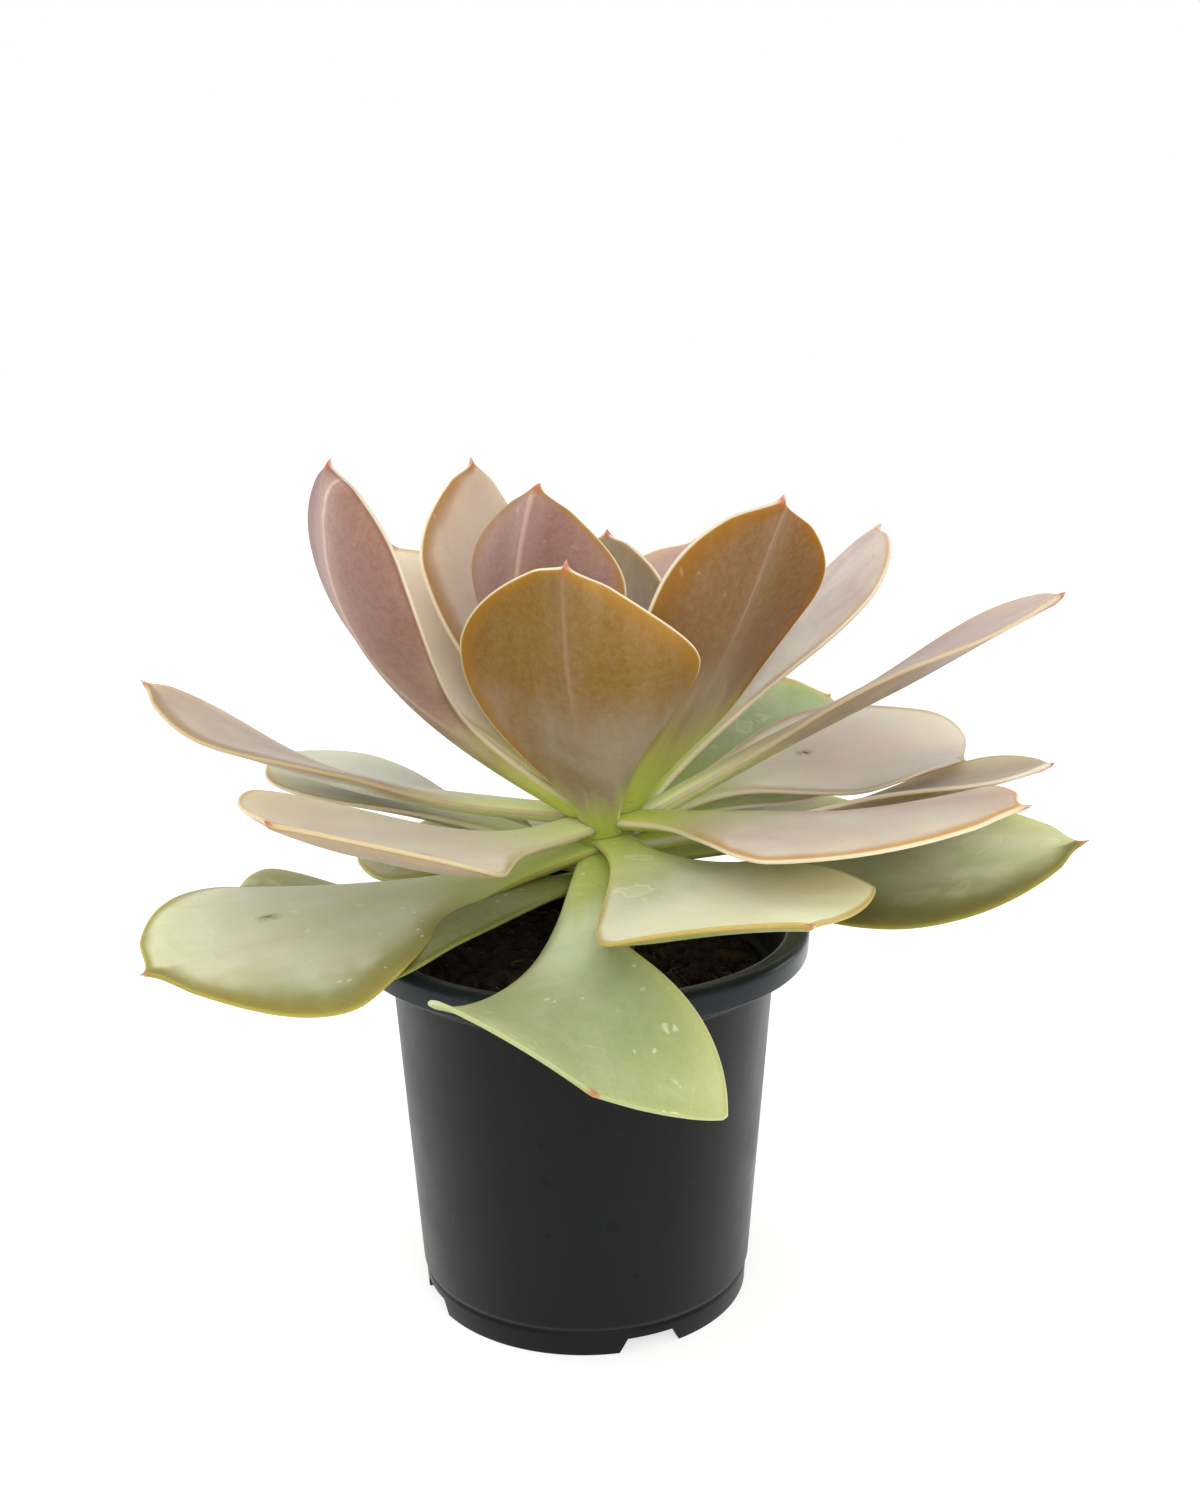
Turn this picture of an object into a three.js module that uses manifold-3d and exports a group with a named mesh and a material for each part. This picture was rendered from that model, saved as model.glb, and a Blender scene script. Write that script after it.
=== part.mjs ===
// Potted lolita echeveria: a rosette of fleshy leaves on a short stem, in a filled nursery pot.
// Millimetres, +Z up. The origin is under the middle of the whole plant's width and depth, in the
// plane that the pot's foot rests on. Every place below is measured from the pot's axis.
// Azimuths are degrees seen from above, counter-clockwise from +X. The plant's front looks along -Y.

import * as THREE from 'three';
import { mergeVertices } from 'three/addons/utils/BufferGeometryUtils.js';
import Module from 'manifold-3d';

const wasm = await Module();
wasm.setup();

// Driving dimensions

const CLEARANCE = 0.42;

// The least curl, in radians, that the arc across a blade is worked out with.
const STRAIGHT = 0.001;

// The leaves lean out further on one side, so the pot stands a little off the middle of the plant.
const POT_AXIS = { x: -3.85, y: 1.9 };

const POT = {
  rimRadius: 52.5,
  height: 90,
  rimBand: 6,
  rimWidth: 6,
  shoulderHeight: 4.5,
  shoulderStep: 1.3,
  wallTopRadius: 44.3,
  wallFootRadius: 39.1,
  footRadius: 38.3,
  footHeight: 6,
  footWidth: 2,
  wall: 1.6,
  floorUnderside: 4,
  floorThickness: 2,
  sides: 44,
};

const NOTCH = { count: 4, firstAzimuth: 22, width: 16, topWidth: 11, height: 3.6 };
const DRAIN = { count: 4, firstAzimuth: 22, ringRadius: 27, radius: 3.5, sides: 16 };

const SOIL = { level: 78, lump: 1.6, mound: 1.5, rings: 10, sectors: 32, seed: 7 };

const STEM = { x: 5.5, y: 0, radius: 7, rootHeight: 56, shoulder: 113, top: 118.5, sides: 16 };

const LEAF = {
  thickness: 4.4,
  tipThickness: 1.4,
  upperShare: 0.34,
  stalkShare: 0.17,
  stalkEnd: 0.06,
  stations: [0, 0.1, 0.2, 0.3, 0.4, 0.49, 0.58, 0.66, 0.74, 0.82, 0.9, 0.96],
  across: [-1, -0.74, -0.38, 0, 0.38, 0.74, 1],
};

// One leaf unless its row says otherwise: rise is the slope above level at the base and at the tip,
// foot is the height of its base, roll and twist turn it about its own length along the whole blade
// and towards the tip, swing turns it sideways, and cup curls the left and right margins up, in radians.
// Widest is the place of the greatest width along the blade, late bends a leaf nearer to its tip,
// flare keeps the stalk slim for longer and blunt keeps the blade full for longer towards the tip.

const ORDINARY = {
  azimuth: 0,
  rise: [10, 10],
  length: 90,
  width: 54,
  foot: 108,
  inset: 4,
  roll: 0,
  twist: 0,
  swing: 0,
  cup: [0.25, 0.25],
  widest: 0.66,
  late: 1,
  flare: 1,
  blunt: 2.1,
};

const HEART = [
  { azimuth: 20, rise: [78, 84], length: 26, width: 17, foot: 118, inset: 1.5, cup: [0.8, 0.8] },
  { azimuth: 165, rise: [72, 84], length: 36, width: 24, foot: 118, inset: 2, cup: [0.8, 0.8] },
  { azimuth: 295, rise: [66, 84], length: 48, width: 32, foot: 117.5, inset: 2.5, cup: [0.8, 0.8] },
];

const UPRIGHT = [
  { azimuth: 228, rise: [49, 116], late: 1.4, length: 82, width: 46, foot: 117.5, inset: 2.5, roll: -2,
    twist: 18, swing: -3, cup: [0.7, 0.8], widest: 0.72, blunt: 2 },
  { azimuth: 88, rise: [48, 73], length: 69, width: 43, foot: 116, roll: -12, twist: -12, cup: [0.9, 0.9] },
  { azimuth: 128, rise: [41, 76], late: 1.05, length: 92, width: 52, foot: 116, inset: 3, roll: 22,
    twist: -3, swing: -3, cup: [-0.15, -0.4], widest: 0.7, flare: 0.6, blunt: 1.75 },
  { azimuth: 326, rise: [57, 68], late: 1.1, length: 85, width: 58, foot: 115.5, roll: 6, twist: -19,
    swing: 10, cup: [-0.4, 0.45], widest: 0.6, flare: 0.6, blunt: 2.75 },
  { azimuth: 209, rise: [34, 107], late: 2.45, length: 111, width: 57, foot: 115, inset: 3, roll: -10,
    twist: -1, swing: -8, cup: [0.85, -0.15], widest: 0.78, flare: 2.4, blunt: 2.5 },
  { azimuth: 68, rise: [39, 48], length: 82, width: 48, foot: 114 },
  { azimuth: 260, rise: [45, 68], length: 84, width: 54, foot: 112, roll: -16, twist: -26, swing: 4,
    cup: [1.3, -0.3], blunt: 1.85 },
  { azimuth: 140, rise: [36.5, 49.5], length: 86, width: 50, foot: 113.5 },
  { azimuth: 35, rise: [39, 33], late: 1.05, length: 105, width: 54, foot: 112.5, roll: -18, twist: 1,
    swing: 9, cup: [-0.55, 0], widest: 0.67, flare: 1.4, blunt: 1.65 },
  { azimuth: 357, rise: [30, 29], late: 1.1, length: 110, width: 51, foot: 113.5, inset: 5, roll: -15,
    twist: 9, swing: -11, cup: [0.2, 0], widest: 0.75, flare: 1.3, blunt: 2.6 },
];

const SPREADING = [
  { azimuth: 175, rise: [4, 40], late: 1.8, length: 108, width: 50, foot: 115.5, inset: 4.5, roll: 19,
    twist: -15, swing: 2, cup: [0, 0], widest: 0.71, flare: 0.9, blunt: 2.1 },
  { azimuth: 27, rise: [22, -3], late: 0.85, length: 88, width: 53, foot: 110.5, inset: 3.5, roll: 24,
    twist: -18, swing: -55, cup: [0.1, 0.35], widest: 0.85, flare: 1.6, blunt: 2.25 },
  { azimuth: 319, rise: [8, 17], late: 1.2, length: 109, width: 67, foot: 115, inset: 2, roll: -10,
    twist: 18, swing: -6, cup: [0, -0.25], widest: 0.62, flare: 1.25, blunt: 1.2 },
  { azimuth: 224, rise: [-10, 28], late: 0.65, length: 101, width: 64, foot: 115, inset: 4, roll: -5,
    twist: -1, swing: 19, cup: [0.2, 0.2], widest: 0.7, flare: 1.5, blunt: 1.4 },
  { azimuth: 100, rise: [10, 12], length: 92, width: 48, foot: 108 },
  { azimuth: 50, rise: [9, 14], length: 93, width: 54, foot: 108, roll: 20, cup: [0.5, 0.25] },
  { azimuth: 149, rise: [6, 11], late: 1.05, length: 92, width: 43, foot: 105, roll: 5, twist: -11,
    swing: 4, cup: [0.2, -0.25], widest: 0.75, flare: 1.4, blunt: 2.85 },
  { azimuth: 2, rise: [6, 18], late: 1.65, length: 101, width: 46, foot: 108.5, inset: 3, roll: -22,
    twist: 11, swing: -10, cup: [0.35, 0.1], widest: 0.83, flare: 2.55, blunt: 2.2 },
];

const LOW = [
  { azimuth: 291, rise: [-3, 16], late: 1.2, length: 95.5, width: 59, foot: 110.5, inset: 2, roll: 16,
    twist: -14, swing: 5, cup: [-0.2, 0.2], widest: 0.73, blunt: 1.2 },
  { azimuth: 78, rise: [4, 4], length: 94, width: 50, foot: 105 },
  { azimuth: 40, rise: [-4, 1], length: 84, width: 50, foot: 103.5 },
  { azimuth: 212, rise: [6, -39], late: 1.65, length: 67, width: 44, foot: 100, inset: 5, roll: 5,
    twist: -2, swing: -6, cup: [0.05, 0], flare: 0.6, blunt: 3 },
  { azimuth: 198, rise: [-15, 4], late: 0.95, length: 110, width: 67, foot: 108.5, inset: 3, roll: -7,
    twist: -21, swing: 36, cup: [0.2, -0.45], widest: 0.66, flare: 1.15, blunt: 1.55 },
  { azimuth: 143, rise: [0, -23], late: 1.8, length: 73, width: 43, foot: 102.5, roll: -9, twist: 2,
    swing: 9, cup: [0, 0.15], widest: 0.62, flare: 1.3, blunt: 1.75 },
  { azimuth: 339, rise: [-4, 17], late: 0.75, length: 103, width: 60, foot: 103.5, inset: 6, roll: 8,
    twist: 3, swing: 12, cup: [0.1, 0.1], widest: 0.64, flare: 1.45, blunt: 1.7 },
  { azimuth: 260, rise: [-10, -7], late: 2.1, length: 97, width: 63, foot: 106.5, inset: 4.5, roll: 22,
    twist: -57, swing: 25, cup: [0.2, 0], widest: 0.9, flare: 2.2, blunt: 1.2 },
  { azimuth: 179, rise: [-11, 11], late: 1.35, length: 82, width: 44, foot: 100, inset: 4.5, roll: 9,
    twist: -17, swing: 6, cup: [0.2, -0.3], widest: 0.88, flare: 1.85, blunt: 3 },
  { azimuth: 106, rise: [-3, -20], late: 2, length: 92, width: 50, foot: 100.5 },
];

// The youngest leaf comes first, so the leaves are numbered from the heart outwards.
const LEAVES = [...HEART, ...UPRIGHT, ...SPREADING, ...LOW].map((row) => ({ ...ORDINARY, ...row }));

// Helpers

const radians = THREE.MathUtils.degToRad;

function smooth(x) {
  return THREE.MathUtils.smoothstep(x, 0, 1);
}

function onCircle(radius, azimuth, z) {
  return new THREE.Vector3(radius * Math.cos(radians(azimuth)), radius * Math.sin(radians(azimuth)), z);
}

function solidOf(geometry) {
  const bare = geometry.clone();
  bare.deleteAttribute('normal');
  bare.deleteAttribute('uv');
  const merged = mergeVertices(bare, 1e-4);
  return new wasm.Manifold(new wasm.Mesh({
    numProp: 3,
    vertProperties: new Float32Array(merged.attributes.position.array),
    triVerts: new Uint32Array(merged.index.array),
  }));
}

function geometryOf(solid) {
  const mesh = solid.getMesh();
  const geometry = new THREE.BufferGeometry();
  geometry.setAttribute('position', new THREE.BufferAttribute(new Float32Array(mesh.vertProperties), 3));
  geometry.setIndex(new THREE.BufferAttribute(new Uint32Array(mesh.triVerts), 1));
  geometry.computeVertexNormals();
  return geometry;
}

function largestBody(solid) {
  const bodies = solid.decompose();
  return bodies.reduce((best, body) => (body.volume() > best.volume() ? body : best));
}

// A lathe turns about +Y, so its geometry is stood up along +Z.
function turned(profile, sides) {
  const points = profile.map(([radius, height]) => new THREE.Vector2(radius, height));
  const geometry = new THREE.LatheGeometry(points, sides);
  geometry.rotateX(Math.PI / 2);
  return geometry;
}

function ringsToGeometry(rings, tip) {
  const positions = [];
  const faces = [];
  rings.forEach((ring) => ring.forEach((point) => positions.push(point.x, point.y, point.z)));
  const around = rings[0].length;
  const upper = (around - 2) / 2 + 1;
  for (let i = 0; i + 1 < rings.length; i += 1) {
    for (let j = 0; j < around; j += 1) {
      const a = i * around + j;
      const b = i * around + (j + 1) % around;
      const c = a + around;
      const d = b + around;
      // The two faces are split along the same diagonal, so a curved blade never crosses itself.
      if (j < upper) faces.push(a, c, d, a, d, b);
      else faces.push(a, c, b, b, c, d);
    }
  }
  for (let j = 1; j + 1 < around; j += 1) faces.push(0, j, j + 1);
  const last = (rings.length - 1) * around;
  const apex = rings.length * around;
  positions.push(tip.x, tip.y, tip.z);
  for (let j = 0; j < around; j += 1) faces.push(last + j, apex, last + (j + 1) % around);
  const geometry = new THREE.BufferGeometry();
  geometry.setAttribute('position', new THREE.Float32BufferAttribute(positions, 3));
  geometry.setIndex(faces);
  geometry.computeVertexNormals();
  return geometry;
}

// Leaf shape

// Half of the width, as a share of the greatest, from the stalk to the point at the tip.
function outline(s, leaf) {
  const up = THREE.MathUtils.clamp((s - LEAF.stalkEnd) / (leaf.widest - LEAF.stalkEnd), 0, 1);
  if (s < leaf.widest) {
    const rise = (0.5 - 0.5 * Math.cos(Math.PI * up)) ** leaf.flare;
    return LEAF.stalkShare + (1 - LEAF.stalkShare) * rise;
  }
  const down = (s - leaf.widest) / (1 - leaf.widest);
  const nip = 1 + 0.7 * smooth((down - 0.8) / 0.2);
  return Math.max(0, 1 - down ** leaf.blunt) ** nip;
}

function thicknessAt(s) {
  const body = THREE.MathUtils.lerp(LEAF.thickness, LEAF.thickness * 0.72, smooth(s));
  return THREE.MathUtils.lerp(body, LEAF.tipThickness, smooth((s - 0.6) / 0.4));
}

// Walks the midline in short steps, because slope and heading both change along it.
function midline(leaf) {
  const steps = 60;
  const point = onCircle(leaf.inset, leaf.azimuth, leaf.foot).add(new THREE.Vector3(STEM.x, STEM.y, 0));
  const points = [point.clone()];
  for (let i = 0; i < steps; i += 1) {
    point.addScaledVector(heading((i + 0.5) / steps, leaf), leaf.length / steps);
    points.push(point.clone());
  }
  return (s) => {
    const place = Math.min(s, 1) * steps;
    const i = Math.min(Math.floor(place), steps - 1);
    return points[i].clone().lerp(points[i + 1], place - i);
  };
}

function slopeAndTurn(s, leaf) {
  const slope = radians(leaf.rise[0] + (leaf.rise[1] - leaf.rise[0]) * s ** leaf.late);
  const turn = radians(leaf.azimuth + leaf.swing * s * s);
  return [slope, turn];
}

function heading(s, leaf) {
  const [slope, turn] = slopeAndTurn(s, leaf);
  return new THREE.Vector3(
    Math.cos(slope) * Math.cos(turn),
    Math.cos(slope) * Math.sin(turn),
    Math.sin(slope),
  );
}

// The blade's own directions at a station: out to its left margin, and up out of its inner face.
function bladeAxes(s, leaf) {
  const turn = slopeAndTurn(s, leaf)[1];
  const along = heading(s, leaf);
  const level = new THREE.Vector3(-Math.sin(turn), Math.cos(turn), 0);
  const upright = along.clone().cross(level);
  const tilt = radians(leaf.roll) * smooth(s / 0.5) + radians(leaf.twist) * smooth((s - 0.4) / 0.6);
  const left = level.clone().multiplyScalar(Math.cos(tilt)).addScaledVector(upright, Math.sin(tilt));
  const up = upright.clone().multiplyScalar(Math.cos(tilt)).addScaledVector(level, -Math.sin(tilt));
  return { left, up };
}

// A closed loop of points round the blade at one station, over the inner face and back under it.
// Each half of the blade is an arc from the midline to its margin.
function section(s, leaf, centre, padding) {
  const { left, up } = bladeAxes(s, leaf);
  const half = (leaf.width / 2) * outline(s, leaf) + padding;
  const place = (u, share, fullness) => {
    const side = Math.sign(u);
    const curl = (u > 0 ? leaf.cup[0] : leaf.cup[1]) * smooth(s / 0.35);
    const bend = Math.abs(curl) < STRAIGHT ? STRAIGHT : curl;
    const angle = bend * Math.abs(u);
    const sideways = (half / bend) * Math.sin(angle);
    const lift = (half / bend) * (1 - Math.cos(angle));
    const skin = Math.abs(u) < 1 ? Math.sign(share) * padding : 0;
    const offset = share * thicknessAt(s) * (1 - Math.abs(u) ** fullness) + skin;
    return centre.clone()
      .addScaledVector(left, side * (sideways - offset * Math.sin(angle)))
      .addScaledVector(up, lift + offset * Math.cos(angle));
  };
  const over = LEAF.across.map((u) => place(u, LEAF.upperShare, 3));
  const under = LEAF.across.slice(1, -1).reverse().map((u) => place(u, LEAF.upperShare - 1, 2));
  return [...over, ...under];
}

function leafGeometry(leaf, padding) {
  const centreAt = midline(leaf);
  const rings = LEAF.stations.map((s) => {
    const back = s === 0 ? padding : 0;
    return section(s, leaf, centreAt(s).addScaledVector(heading(s, leaf), -back), padding);
  });
  const tip = centreAt(1).addScaledVector(heading(1, leaf), padding);
  return ringsToGeometry(rings, tip);
}

// Stem

function stemGeometry(padding) {
  const radius = STEM.radius + padding;
  const geometry = turned([
    [0, STEM.rootHeight - padding],
    [radius * 0.7, STEM.rootHeight - padding],
    [radius * 0.9, STEM.rootHeight + 8],
    [radius, SOIL.level - 6],
    [radius * 0.94, SOIL.level + 8],
    [radius * 0.98, SOIL.level + 20],
    [radius, STEM.shoulder - 8],
    [radius * 0.9, STEM.shoulder + padding],
    [radius * 0.45, STEM.top - 1 + padding],
    [0, STEM.top + padding],
  ], STEM.sides);
  geometry.translate(STEM.x, STEM.y, 0);
  return geometry;
}

// Leaves, each trimmed round the stem and round the older leaves that it grows against

function rosette() {
  const stem = solidOf(stemGeometry(CLEARANCE));
  const older = [];
  const trimmed = [];
  [...LEAVES].reverse().forEach((leaf) => {
    let body = solidOf(leafGeometry(leaf, 0)).subtract(stem);
    older.forEach((other) => {
      body = body.subtract(other);
    });
    trimmed.unshift(geometryOf(largestBody(body)));
    older.push(solidOf(leafGeometry(leaf, CLEARANCE)));
  });
  return trimmed;
}

// Pot

function potProfile() {
  const rimBottom = POT.height - POT.rimBand;
  const shoulder = rimBottom - POT.shoulderHeight;
  const shoulderRadius = POT.wallTopRadius + POT.shoulderStep;
  const rimInner = POT.rimRadius - POT.rimWidth;
  const floorTop = POT.floorUnderside + POT.floorThickness;
  return [
    [0, POT.floorUnderside],
    [POT.footRadius - POT.footWidth, POT.floorUnderside],
    [POT.footRadius - POT.footWidth, 0],
    [POT.footRadius, 0],
    [POT.footRadius + 0.3, POT.footHeight - 0.8],
    [POT.footRadius - 0.1, POT.footHeight],
    [POT.wallFootRadius, POT.footHeight + 1],
    [POT.wallTopRadius, shoulder],
    [shoulderRadius, shoulder + 0.9],
    [shoulderRadius + 0.2, rimBottom - 0.6],
    [shoulderRadius + 0.8, rimBottom],
    [POT.rimRadius - 1, rimBottom],
    [POT.rimRadius - 0.2, rimBottom + 0.7],
    [POT.rimRadius, POT.height - 1.5],
    [POT.rimRadius - 0.5, POT.height - 0.4],
    [POT.rimRadius - 1.6, POT.height],
    [rimInner + 1, POT.height - 0.3],
    [rimInner, POT.height - 1.3],
    [shoulderRadius - POT.wall + 0.6, rimBottom - 1],
    [shoulderRadius - POT.wall, shoulder],
    [POT.wallTopRadius - POT.wall, shoulder - 1.4],
    [POT.wallFootRadius - POT.wall + 0.1, floorTop + 1.5],
    [POT.wallFootRadius - POT.wall - 1.4, floorTop],
    [0, floorTop],
  ];
}

// A slanted cut-out through the foot ring, as a trapezium pushed outwards through it.
function notchCutter(azimuth) {
  const outlineShape = new THREE.Shape([
    new THREE.Vector2(-NOTCH.width / 2, -1),
    new THREE.Vector2(NOTCH.width / 2, -1),
    new THREE.Vector2(NOTCH.topWidth / 2, NOTCH.height),
    new THREE.Vector2(-NOTCH.topWidth / 2, NOTCH.height),
  ]);
  const depth = POT.footWidth + 6;
  const geometry = new THREE.ExtrudeGeometry(outlineShape, { depth, bevelEnabled: false });
  geometry.rotateX(Math.PI / 2);
  geometry.rotateZ(Math.PI / 2);
  geometry.translate(POT.footRadius - POT.footWidth - 3, 0, 0);
  geometry.rotateZ(radians(azimuth));
  return geometry;
}

function drainCutter(azimuth) {
  const { radius, sides } = DRAIN;
  const geometry = new THREE.CylinderGeometry(radius, radius, POT.floorThickness * 3, sides);
  geometry.rotateX(Math.PI / 2);
  const place = onCircle(DRAIN.ringRadius, azimuth, POT.floorUnderside + POT.floorThickness / 2);
  geometry.translate(place.x, place.y, place.z);
  return geometry;
}

function potGeometry() {
  let pot = solidOf(turned(potProfile(), POT.sides));
  for (let i = 0; i < NOTCH.count; i += 1) {
    pot = pot.subtract(solidOf(notchCutter(NOTCH.firstAzimuth + (360 / NOTCH.count) * i)));
  }
  for (let i = 0; i < DRAIN.count; i += 1) {
    pot = pot.subtract(solidOf(drainCutter(DRAIN.firstAzimuth + (360 / DRAIN.count) * i)));
  }
  return geometryOf(pot);
}

// Soil

function seededRandom(seed) {
  let state = seed;
  return () => {
    state = (state * 16807) % 2147483647;
    return state / 2147483647;
  };
}

// A plug that fits the pot, with a lumpy top that rises a little towards the stem.
function soilGeometry() {
  const random = seededRandom(SOIL.seed);
  const floor = POT.floorUnderside + POT.floorThickness + CLEARANCE;
  const inner = (z) => {
    const share = (z - POT.footHeight) / (POT.height - POT.rimBand - POT.shoulderHeight - POT.footHeight);
    return THREE.MathUtils.lerp(POT.wallFootRadius, POT.wallTopRadius, share) - POT.wall - CLEARANCE;
  };
  const bottomRadius = inner(floor) - 2;
  const positions = [0, 0, floor];
  const rings = [
    { radius: bottomRadius, height: floor, lump: 0 },
    { radius: inner(floor + 3) - 0.2, height: floor + 3, lump: 0 },
    { radius: inner(SOIL.level - 6) - 0.2, height: SOIL.level - 6, lump: 0 },
    { radius: inner(SOIL.level - 2) - 0.2, height: SOIL.level - 2, lump: 0 },
  ];
  for (let i = 0; i < SOIL.rings; i += 1) {
    const share = 1 - (i + 0.4) / SOIL.rings;
    const radius = (inner(SOIL.level) - 0.4) * share;
    rings.push({ radius, height: SOIL.level + SOIL.mound * (1 - share) ** 2, lump: SOIL.lump });
  }
  rings.forEach(({ radius, height, lump }) => {
    for (let j = 0; j < SOIL.sectors; j += 1) {
      const azimuth = (360 * j) / SOIL.sectors;
      const point = onCircle(radius, azimuth, height + lump * (random() - 0.6));
      positions.push(point.x, point.y, point.z);
    }
  });
  positions.push(0, 0, SOIL.level + SOIL.mound);
  const faces = [];
  const at = (i, j) => 1 + i * SOIL.sectors + (j % SOIL.sectors);
  const apex = 1 + rings.length * SOIL.sectors;
  for (let j = 0; j < SOIL.sectors; j += 1) {
    faces.push(0, at(0, j + 1), at(0, j));
    for (let i = 0; i + 1 < rings.length; i += 1) {
      faces.push(at(i, j), at(i, j + 1), at(i + 1, j + 1));
      faces.push(at(i, j), at(i + 1, j + 1), at(i + 1, j));
    }
    faces.push(at(rings.length - 1, j), at(rings.length - 1, j + 1), apex);
  }
  const geometry = new THREE.BufferGeometry();
  geometry.setAttribute('position', new THREE.Float32BufferAttribute(positions, 3));
  geometry.setIndex(faces);
  geometry.computeVertexNormals();
  return geometryOf(solidOf(geometry).subtract(solidOf(stemGeometry(CLEARANCE))));
}

// Materials

const charcoalPlastic = new THREE.MeshStandardMaterial({ color: 0x2e3134, roughness: 0.42, metalness: 0 });
const darkPeat = new THREE.MeshStandardMaterial({ color: 0x2a1f17, roughness: 0.95, metalness: 0 });
const limeStem = new THREE.MeshStandardMaterial({ color: 0xa9b25a, roughness: 0.6, metalness: 0 });

const heartLeaf = new THREE.MeshStandardMaterial({ color: 0xc9c08a, roughness: 0.55, metalness: 0 });
const uprightLeaf = new THREE.MeshStandardMaterial({ color: 0xc39a72, roughness: 0.55, metalness: 0 });
const spreadingLeaf = new THREE.MeshStandardMaterial({ color: 0xc9b39c, roughness: 0.6, metalness: 0 });
const lowLeaf = new THREE.MeshStandardMaterial({ color: 0xa9b48c, roughness: 0.65, metalness: 0 });

// The object

const plant = new THREE.Group();

function addPiece(name, geometry, material) {
  geometry.translate(POT_AXIS.x, POT_AXIS.y, 0);
  const mesh = new THREE.Mesh(geometry, material);
  mesh.name = name;
  plant.add(mesh);
}

addPiece('pot', potGeometry(), charcoalPlastic);
addPiece('soil', soilGeometry(), darkPeat);
addPiece('stem', stemGeometry(0), limeStem);

const leafMaterials = [
  ...HEART.map(() => heartLeaf),
  ...UPRIGHT.map(() => uprightLeaf),
  ...SPREADING.map(() => spreadingLeaf),
  ...LOW.map(() => lowLeaf),
];

rosette().forEach((geometry, i) => {
  addPiece(`leaf_${String(i + 1).padStart(2, '0')}`, geometry, leafMaterials[i]);
});

export default plant;
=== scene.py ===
"""Potted lolita echeveria: fleshy leaves, stem, soil and nursery pot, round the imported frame.

Metres, +Z up. The origin is under the middle of the whole plant's width and depth, in the plane that
the pot's foot rests on. The tables hold millimetres and degrees, and their places are measured from
the pot's axis, as the frame's own driving dimensions are.
"""

import math
import random

import bmesh
import bpy
import numpy as np
from mathutils import Matrix, Vector, noise


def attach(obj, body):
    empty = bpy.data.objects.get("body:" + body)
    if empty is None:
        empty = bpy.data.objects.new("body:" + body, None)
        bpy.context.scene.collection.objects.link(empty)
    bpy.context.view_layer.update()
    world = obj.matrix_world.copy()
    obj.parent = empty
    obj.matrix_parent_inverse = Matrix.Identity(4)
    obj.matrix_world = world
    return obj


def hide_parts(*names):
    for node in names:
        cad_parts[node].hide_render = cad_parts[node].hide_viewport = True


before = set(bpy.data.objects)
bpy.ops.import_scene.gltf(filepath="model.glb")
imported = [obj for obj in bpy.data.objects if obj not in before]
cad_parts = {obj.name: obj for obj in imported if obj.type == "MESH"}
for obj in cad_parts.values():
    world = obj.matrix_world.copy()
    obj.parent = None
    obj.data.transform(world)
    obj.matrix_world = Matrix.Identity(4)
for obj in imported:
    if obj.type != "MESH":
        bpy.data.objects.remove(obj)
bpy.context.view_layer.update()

MM = 0.001

# The leaves lean out further on one side, so the pot stands a little off the middle of the plant.
POT_AXIS = Vector((-3.85, 1.9, 0)) * MM

# Camera, in front of the pot's axis. The focal length is in pixels of a picture that is 1500 high.

CAMERA = dict(distance=415, height=237, pitch=14.4, yaw=0.6, roll=-0.48, focal=1890, picture=1500)

# Pot, soil and stem, as in the frame

POT = dict(
    rim_radius=52.5, height=90, rim_band=6, rim_width=6, shoulder_height=4.5, shoulder_step=1.3,
    wall_top_radius=44.3, wall_foot_radius=39.1, foot_radius=38.3, foot_height=6, foot_width=2,
    wall=1.6, floor_underside=4, floor_thickness=2,
)
POT_SIDES = 176
NOTCH = dict(count=4, first_azimuth=22, width=16, top_width=11, height=3.6)
DRAIN = dict(count=4, first_azimuth=22, ring_radius=27, radius=3.5)
SOIL = dict(level=77.6, mound=1.5, radius=41.9, clearance=0.4)
STEM = dict(x=5.5, radius=7, root_height=56, shoulder=113, top=118.5)

# Leaf sizes, as in the frame

LEAF = dict(thickness=4.4, tip_thickness=1.4, upper_share=0.34, stalk_share=0.17, stalk_end=0.06)
STATIONS = 72
AROUND = 31
MIDLINE_STEPS = 60
LEAST_CURL = 0.001

# Leaf detail that the frame leaves out: the radius of the rim, the groove down the inner face, the
# reach of the keel on the outer one, and where the blade starts to thin into its point.

BLADE = dict(rim_round=0.42, groove=0.35, groove_reach=2.2, keel_reach=3.5, point_share=0.03)

# The leaves, the youngest first. Each starts at its azimuth round the stem, inset from the stem's axis
# and foot above the ground. Its slope goes from the first number of rise to the second, and the larger
# late is, the further out it does so. Swing bends it sideways, roll and twist turn the blade, roll from
# the stalk on and twist only towards the tip, and cup curls its left and right halves. The blade is
# broadest at the share widest of its length, flare keeps it slim before that, and blunt keeps it broad
# after it. What a row leaves out is as in ORDINARY.

ORDINARY = dict(
    late=1, inset=4, roll=0, twist=0, swing=0, cup=(0.25, 0.25), widest=0.66, flare=1, blunt=2.1,
)


def row(azimuth, rise, length, width, foot, **shape):
    return dict(azimuth=azimuth, rise=rise, length=length, width=width, foot=foot, **shape)


HEART = [
    row(20, (78, 84), 26, 17, 118, inset=1.5, cup=(0.8, 0.8)),
    row(165, (72, 84), 36, 24, 118, inset=2, cup=(0.8, 0.8)),
    row(295, (66, 84), 48, 32, 117.5, inset=2.5, cup=(0.8, 0.8)),
]

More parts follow.
